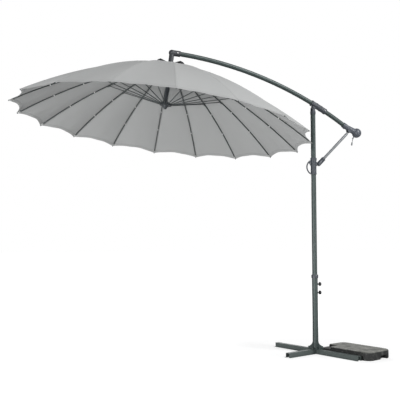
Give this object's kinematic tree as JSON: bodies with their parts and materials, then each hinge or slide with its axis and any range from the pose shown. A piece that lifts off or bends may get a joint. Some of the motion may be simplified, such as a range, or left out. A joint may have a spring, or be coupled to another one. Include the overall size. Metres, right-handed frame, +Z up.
{
  "type": "cantilever parasol",
  "caption": "Cantilever parasol: round ribbed canopy hung from a curved arm on an offset mast, with a strut carriage, crank, crossed foot and a ballast slab.",
  "frame": {"origin": "on the mast axis at floor level, under the crossing of the foot bars", "axes": "+Z up along the mast, -X from the mast toward the canopy, +Y completes the right-handed frame"},
  "size_m": [3.4399, 2.681, 2.8227],
  "materials": {
    "frame_paint": "satin anthracite powder coat",
    "dark_plastic": "fine grained",
    "housing_plastic": "fine grained",
    "rib_bar": "satin, drawn fibre bar",
    "bright_metal": "zinc plated",
    "strut_metal": "satin",
    "arm_alloy": "satin anthracite powder coat",
    "cloth": "woven polyester, light grey",
    "slab_shell": "scuffed",
    "slab_stone": "cast concrete fill"
  },
  "bodies": {
    "base": {"cross_bar_long": "frame_paint", "cross_bar_short": "frame_paint", "base_tube": "frame_paint", "base_bolts": "bright_metal", "tube_collar": "dark_plastic", "ballast_slab": "slab_shell", "ballast_fill": "slab_stone"},
    "knob_upper": {"clamp_knob_upper": "dark_plastic"},
    "knob_lower": {"clamp_knob_lower": "dark_plastic"},
    "mast": {"mast_tube": "arm_alloy", "mast_head": "housing_plastic"},
    "carriage": {"slider": "housing_plastic"},
    "strut": {"strut": "strut_metal"},
    "arm": {"arm_tube": "arm_alloy", "pivot_sleeve": "housing_plastic", "arm_elbow": "dark_plastic", "arm_bolts": "bright_metal", "crown_hub": "dark_plastic", "crown_cap": "dark_plastic", "crank_housing": "housing_plastic", "canopy": "cloth"},
    "crank": {"crank_handle": "dark_plastic"},
    "grip": {"crank_grip": "dark_plastic"},
    "runner": {"runner_hub": "dark_plastic"},
    "rib_01": {"rib_01": "rib_bar"},
    "stretcher_01": {"stretcher_01": "rib_bar"},
    "rib_02": {"rib_02": "rib_bar"},
    "stretcher_02": {"stretcher_02": "rib_bar"},
    "rib_03": {"rib_03": "rib_bar"},
    "stretcher_03": {"stretcher_03": "rib_bar"},
    "rib_04": {"rib_04": "rib_bar"},
    "stretcher_04": {"stretcher_04": "rib_bar"},
    "rib_05": {"rib_05": "rib_bar"},
    "stretcher_05": {"stretcher_05": "rib_bar"},
    "rib_06": {"rib_06": "rib_bar"},
    "stretcher_06": {"stretcher_06": "rib_bar"},
    "rib_07": {"rib_07": "rib_bar"},
    "stretcher_07": {"stretcher_07": "rib_bar"},
    "rib_08": {"rib_08": "rib_bar"},
    "stretcher_08": {"stretcher_08": "rib_bar"},
    "rib_09": {"rib_09": "rib_bar"},
    "stretcher_09": {"stretcher_09": "rib_bar"},
    "rib_10": {"rib_10": "rib_bar"},
    "stretcher_10": {"stretcher_10": "rib_bar"},
    "rib_11": {"rib_11": "rib_bar"},
    "stretcher_11": {"stretcher_11": "rib_bar"},
    "rib_12": {"rib_12": "rib_bar"},
    "stretcher_12": {"stretcher_12": "rib_bar"},
    "rib_13": {"rib_13": "rib_bar"},
    "stretcher_13": {"stretcher_13": "rib_bar"},
    "rib_14": {"rib_14": "rib_bar"},
    "stretcher_14": {"stretcher_14": "rib_bar"},
    "rib_15": {"rib_15": "rib_bar"},
    "stretcher_15": {"stretcher_15": "rib_bar"},
    "rib_16": {"rib_16": "rib_bar"},
    "stretcher_16": {"stretcher_16": "rib_bar"},
    "rib_17": {"rib_17": "rib_bar"},
    "stretcher_17": {"stretcher_17": "rib_bar"},
    "rib_18": {"rib_18": "rib_bar"},
    "stretcher_18": {"stretcher_18": "rib_bar"}
  },
  "joints": [
    {"name": "mast_turn", "type": "hinge", "parent": "base", "child": "mast", "pos_m": [0, 0, 0.06], "axis": [0, 0, 1], "continuous": true},
    {"name": "knob_upper_turn", "type": "hinge", "parent": "base", "child": "knob_upper", "pos_m": [0.03, 0, 0.662], "axis": [1, 0, 0], "continuous": true},
    {"name": "knob_lower_turn", "type": "hinge", "parent": "base", "child": "knob_lower", "pos_m": [0.03, 0, 0.58], "axis": [1, 0, 0], "continuous": true},
    {"name": "arm_lift", "type": "hinge", "parent": "mast", "child": "arm", "pos_m": [0, 0, 2.391], "axis": [0, 1, 0], "range_deg": [-7.5, 7.5]},
    {"name": "carriage_slide", "type": "slide", "parent": "mast", "child": "carriage", "axis": [0, 0, 1], "range_m": [-0.09, 0.09]},
    {"name": "strut_swing", "type": "hinge", "parent": "carriage", "child": "strut", "pos_m": [0.06, 0, 1.84], "axis": [0, 1, 0], "range_deg": [-6, 6]},
    {"name": "runner_slide", "type": "slide", "parent": "arm", "child": "runner", "axis": [0.1219, 0, 0.9925], "range_m": [-0.8, 0], "deforming": ["canopy"]},
    {"name": "crank_turn", "type": "hinge", "parent": "arm", "child": "crank", "pos_m": [0.47473, 0, 2.13483], "axis": [-0.6018, 0, -0.7986], "range_deg": [-2885, 20]},
    {"name": "grip_turn", "type": "hinge", "parent": "crank", "child": "grip", "pos_m": [0.44469, 0, 2.05171], "axis": [-0.225, 0, -0.9744], "continuous": true},
    {"name": "rib_01_fold", "type": "hinge", "parent": "arm", "child": "rib_01", "pos_m": [-1.43637, 0.01329, 2.67021], "axis": [-0.2869, 0.9573, 0.0352], "range_deg": [0, 59]},
    {"name": "stretcher_01_fold", "type": "hinge", "parent": "runner", "child": "stretcher_01", "pos_m": [-1.4837, 0.0203, 2.30736], "axis": [-0.2869, 0.9573, 0.0352], "range_deg": [-59, 0]},
    {"name": "rib_02_fold", "type": "hinge", "parent": "arm", "child": "rib_02", "pos_m": [-1.44352, 0.02755, 2.67109], "axis": [-0.5946, 0.8007, 0.073], "range_deg": [0, 59]},
    {"name": "stretcher_02_fold", "type": "hinge", "parent": "runner", "child": "stretcher_02", "pos_m": [-1.49307, 0.03319, 2.30851], "axis": [-0.5946, 0.8007, 0.073], "range_deg": [-59, 0]},
    {"name": "rib_03_fold", "type": "hinge", "parent": "arm", "child": "rib_03", "pos_m": [-1.45508, 0.03849, 2.67251], "axis": [-0.8305, 0.5476, 0.102], "range_deg": [0, 59]},
    {"name": "stretcher_03_fold", "type": "hinge", "parent": "runner", "child": "stretcher_03", "pos_m": [-1.50624, 0.04208, 2.31013], "axis": [-0.8305, 0.5476, 0.102], "range_deg": [-59, 0]},
    {"name": "rib_04_fold", "type": "hinge", "parent": "arm", "child": "rib_04", "pos_m": [-1.46966, 0.04478, 2.6743], "axis": [-0.9663, 0.2284, 0.1186], "range_deg": [0, 59]},
    {"name": "stretcher_04_fold", "type": "hinge", "parent": "runner", "child": "stretcher_04", "pos_m": [-1.52164, 0.0459, 2.31202], "axis": [-0.9663, 0.2284, 0.1186], "range_deg": [-59, 0]},
    {"name": "rib_05_fold", "type": "hinge", "parent": "arm", "child": "rib_05", "pos_m": [-1.48549, 0.04568, 2.67624], "axis": [-0.9856, -0.1184, 0.121], "range_deg": [0, 59]},
    {"name": "stretcher_05_fold", "type": "hinge", "parent": "runner", "child": "stretcher_05", "pos_m": [-1.5374, 0.04418, 2.31395], "axis": [-0.9856, -0.1184, 0.121], "range_deg": [-59, 0]},
    {"name": "rib_06_fold", "type": "hinge", "parent": "arm", "child": "rib_06", "pos_m": [-1.50067, 0.04106, 2.67811], "axis": [-0.8859, -0.4509, 0.1088], "range_deg": [0, 59]},
    {"name": "stretcher_06_fold", "type": "hinge", "parent": "runner", "child": "stretcher_06", "pos_m": [-1.55163, 0.03713, 2.3157], "axis": [-0.8859, -0.4509, 0.1088], "range_deg": [-59, 0]},
    {"name": "rib_07_fold", "type": "hinge", "parent": "arm", "child": "rib_07", "pos_m": [-1.51337, 0.03149, 2.67966], "axis": [-0.6794, -0.729, 0.0834], "range_deg": [0, 59]},
    {"name": "stretcher_07_fold", "type": "hinge", "parent": "runner", "child": "stretcher_07", "pos_m": [-1.56261, 0.0256, 2.31705], "axis": [-0.6794, -0.729, 0.0834], "range_deg": [-59, 0]},
    {"name": "rib_08_fold", "type": "hinge", "parent": "arm", "child": "rib_08", "pos_m": [-1.52205, 0.01812, 2.68073], "axis": [-0.391, -0.9191, 0.048], "range_deg": [0, 59]},
    {"name": "stretcher_08_fold", "type": "hinge", "parent": "runner", "child": "stretcher_08", "pos_m": [-1.56901, 0.01098, 2.31783], "axis": [-0.391, -0.9191, 0.048], "range_deg": [-59, 0]},
    {"name": "rib_09_fold", "type": "hinge", "parent": "arm", "child": "rib_09", "pos_m": [-1.52567, 0.00257, 2.68118], "axis": [-0.0554, -0.9984, 0.0068], "range_deg": [0, 59]},
    {"name": "stretcher_09_fold", "type": "hinge", "parent": "runner", "child": "stretcher_09", "pos_m": [-1.57007, -0.00496, 2.31796], "axis": [-0.0554, -0.9984, 0.0068], "range_deg": [-59, 0]},
    {"name": "rib_10_fold", "type": "hinge", "parent": "arm", "child": "rib_10", "pos_m": [-1.52379, -0.01329, 2.68094], "axis": [0.2869, -0.9573, -0.0352], "range_deg": [0, 59]},
    {"name": "stretcher_10_fold", "type": "hinge", "parent": "runner", "child": "stretcher_10", "pos_m": [-1.56565, -0.0203, 2.31742], "axis": [0.2869, -0.9573, -0.0352], "range_deg": [-59, 0]},
    {"name": "rib_11_fold", "type": "hinge", "parent": "arm", "child": "rib_11", "pos_m": [-1.51664, -0.02755, 2.68007], "axis": [0.5946, -0.8007, -0.073], "range_deg": [0, 59]},
    {"name": "stretcher_11_fold", "type": "hinge", "parent": "runner", "child": "stretcher_11", "pos_m": [-1.55629, -0.03319, 2.31627], "axis": [0.5946, -0.8007, -0.073], "range_deg": [-59, 0]},
    {"name": "rib_12_fold", "type": "hinge", "parent": "arm", "child": "rib_12", "pos_m": [-1.50508, -0.03849, 2.67865], "axis": [0.8305, -0.5476, -0.102], "range_deg": [0, 59]},
    {"name": "stretcher_12_fold", "type": "hinge", "parent": "runner", "child": "stretcher_12", "pos_m": [-1.54311, -0.04208, 2.31465], "axis": [0.8305, -0.5476, -0.102], "range_deg": [-59, 0]},
    {"name": "rib_13_fold", "type": "hinge", "parent": "arm", "child": "rib_13", "pos_m": [-1.49051, -0.04478, 2.67686], "axis": [0.9663, -0.2284, -0.1186], "range_deg": [0, 59]},
    {"name": "stretcher_13_fold", "type": "hinge", "parent": "runner", "child": "stretcher_13", "pos_m": [-1.52771, -0.0459, 2.31276], "axis": [0.9663, -0.2284, -0.1186], "range_deg": [-59, 0]},
    {"name": "rib_14_fold", "type": "hinge", "parent": "arm", "child": "rib_14", "pos_m": [-1.47468, -0.04568, 2.67491], "axis": [0.9856, 0.1184, -0.121], "range_deg": [0, 59]},
    {"name": "stretcher_14_fold", "type": "hinge", "parent": "runner", "child": "stretcher_14", "pos_m": [-1.51195, -0.04418, 2.31083], "axis": [0.9856, 0.1184, -0.121], "range_deg": [-59, 0]},
    {"name": "rib_15_fold", "type": "hinge", "parent": "arm", "child": "rib_15", "pos_m": [-1.4595, -0.04106, 2.67305], "axis": [0.8859, 0.4509, -0.1088], "range_deg": [0, 59]},
    {"name": "stretcher_15_fold", "type": "hinge", "parent": "runner", "child": "stretcher_15", "pos_m": [-1.49772, -0.03713, 2.30908], "axis": [0.8859, 0.4509, -0.1088], "range_deg": [-59, 0]},
    {"name": "rib_16_fold", "type": "hinge", "parent": "arm", "child": "rib_16", "pos_m": [-1.4468, -0.03149, 2.67149], "axis": [0.6794, 0.729, -0.0834], "range_deg": [0, 59]},
    {"name": "stretcher_16_fold", "type": "hinge", "parent": "runner", "child": "stretcher_16", "pos_m": [-1.48674, -0.0256, 2.30773], "axis": [0.6794, 0.729, -0.0834], "range_deg": [-59, 0]},
    {"name": "rib_17_fold", "type": "hinge", "parent": "arm", "child": "rib_17", "pos_m": [-1.43812, -0.01812, 2.67042], "axis": [0.391, 0.9191, -0.048], "range_deg": [0, 59]},
    {"name": "stretcher_17_fold", "type": "hinge", "parent": "runner", "child": "stretcher_17", "pos_m": [-1.48034, -0.01098, 2.30695], "axis": [0.391, 0.9191, -0.048], "range_deg": [-59, 0]},
    {"name": "rib_18_fold", "type": "hinge", "parent": "arm", "child": "rib_18", "pos_m": [-1.4345, -0.00257, 2.66998], "axis": [0.0554, 0.9984, -0.0068], "range_deg": [0, 59]},
    {"name": "stretcher_18_fold", "type": "hinge", "parent": "runner", "child": "stretcher_18", "pos_m": [-1.47928, 0.00496, 2.30682], "axis": [0.0554, 0.9984, -0.0068], "range_deg": [-59, 0]}
  ],
  "couplings": [
    {"joint": "carriage_slide", "follows": "arm_lift", "m_per_rad": -0.62322},
    {"joint": "strut_swing", "follows": "arm_lift", "ratio": -0.62326},
    {"joint": "crank_turn", "follows": "runner_slide", "rad_per_m": 62.5},
    {"joint": "rib_01_fold", "follows": "runner_slide", "rad_per_m": -1.2509},
    {"joint": "stretcher_01_fold", "follows": "runner_slide", "rad_per_m": 1.2626},
    {"joint": "rib_02_fold", "follows": "runner_slide", "rad_per_m": -1.2509},
    {"joint": "stretcher_02_fold", "follows": "runner_slide", "rad_per_m": 1.2626},
    {"joint": "rib_03_fold", "follows": "runner_slide", "rad_per_m": -1.2509},
    {"joint": "stretcher_03_fold", "follows": "runner_slide", "rad_per_m": 1.2626},
    {"joint": "rib_04_fold", "follows": "runner_slide", "rad_per_m": -1.2509},
    {"joint": "stretcher_04_fold", "follows": "runner_slide", "rad_per_m": 1.2626},
    {"joint": "rib_05_fold", "follows": "runner_slide", "rad_per_m": -1.2509},
    {"joint": "stretcher_05_fold", "follows": "runner_slide", "rad_per_m": 1.2626},
    {"joint": "rib_06_fold", "follows": "runner_slide", "rad_per_m": -1.2509},
    {"joint": "stretcher_06_fold", "follows": "runner_slide", "rad_per_m": 1.2626},
    {"joint": "rib_07_fold", "follows": "runner_slide", "rad_per_m": -1.2509},
    {"joint": "stretcher_07_fold", "follows": "runner_slide", "rad_per_m": 1.2626},
    {"joint": "rib_08_fold", "follows": "runner_slide", "rad_per_m": -1.2509},
    {"joint": "stretcher_08_fold", "follows": "runner_slide", "rad_per_m": 1.2626},
    {"joint": "rib_09_fold", "follows": "runner_slide", "rad_per_m": -1.2509},
    {"joint": "stretcher_09_fold", "follows": "runner_slide", "rad_per_m": 1.2626},
    {"joint": "rib_10_fold", "follows": "runner_slide", "rad_per_m": -1.2509},
    {"joint": "stretcher_10_fold", "follows": "runner_slide", "rad_per_m": 1.2626},
    {"joint": "rib_11_fold", "follows": "runner_slide", "rad_per_m": -1.2509},
    {"joint": "stretcher_11_fold", "follows": "runner_slide", "rad_per_m": 1.2626},
    {"joint": "rib_12_fold", "follows": "runner_slide", "rad_per_m": -1.2509},
    {"joint": "stretcher_12_fold", "follows": "runner_slide", "rad_per_m": 1.2626},
    {"joint": "rib_13_fold", "follows": "runner_slide", "rad_per_m": -1.2509},
    {"joint": "stretcher_13_fold", "follows": "runner_slide", "rad_per_m": 1.2626},
    {"joint": "rib_14_fold", "follows": "runner_slide", "rad_per_m": -1.2509},
    {"joint": "stretcher_14_fold", "follows": "runner_slide", "rad_per_m": 1.2626},
    {"joint": "rib_15_fold", "follows": "runner_slide", "rad_per_m": -1.2509},
    {"joint": "stretcher_15_fold", "follows": "runner_slide", "rad_per_m": 1.2626},
    {"joint": "rib_16_fold", "follows": "runner_slide", "rad_per_m": -1.2509},
    {"joint": "stretcher_16_fold", "follows": "runner_slide", "rad_per_m": 1.2626},
    {"joint": "rib_17_fold", "follows": "runner_slide", "rad_per_m": -1.2509},
    {"joint": "stretcher_17_fold", "follows": "runner_slide", "rad_per_m": 1.2626},
    {"joint": "rib_18_fold", "follows": "runner_slide", "rad_per_m": -1.2509},
    {"joint": "stretcher_18_fold", "follows": "runner_slide", "rad_per_m": 1.2626}
  ]
}
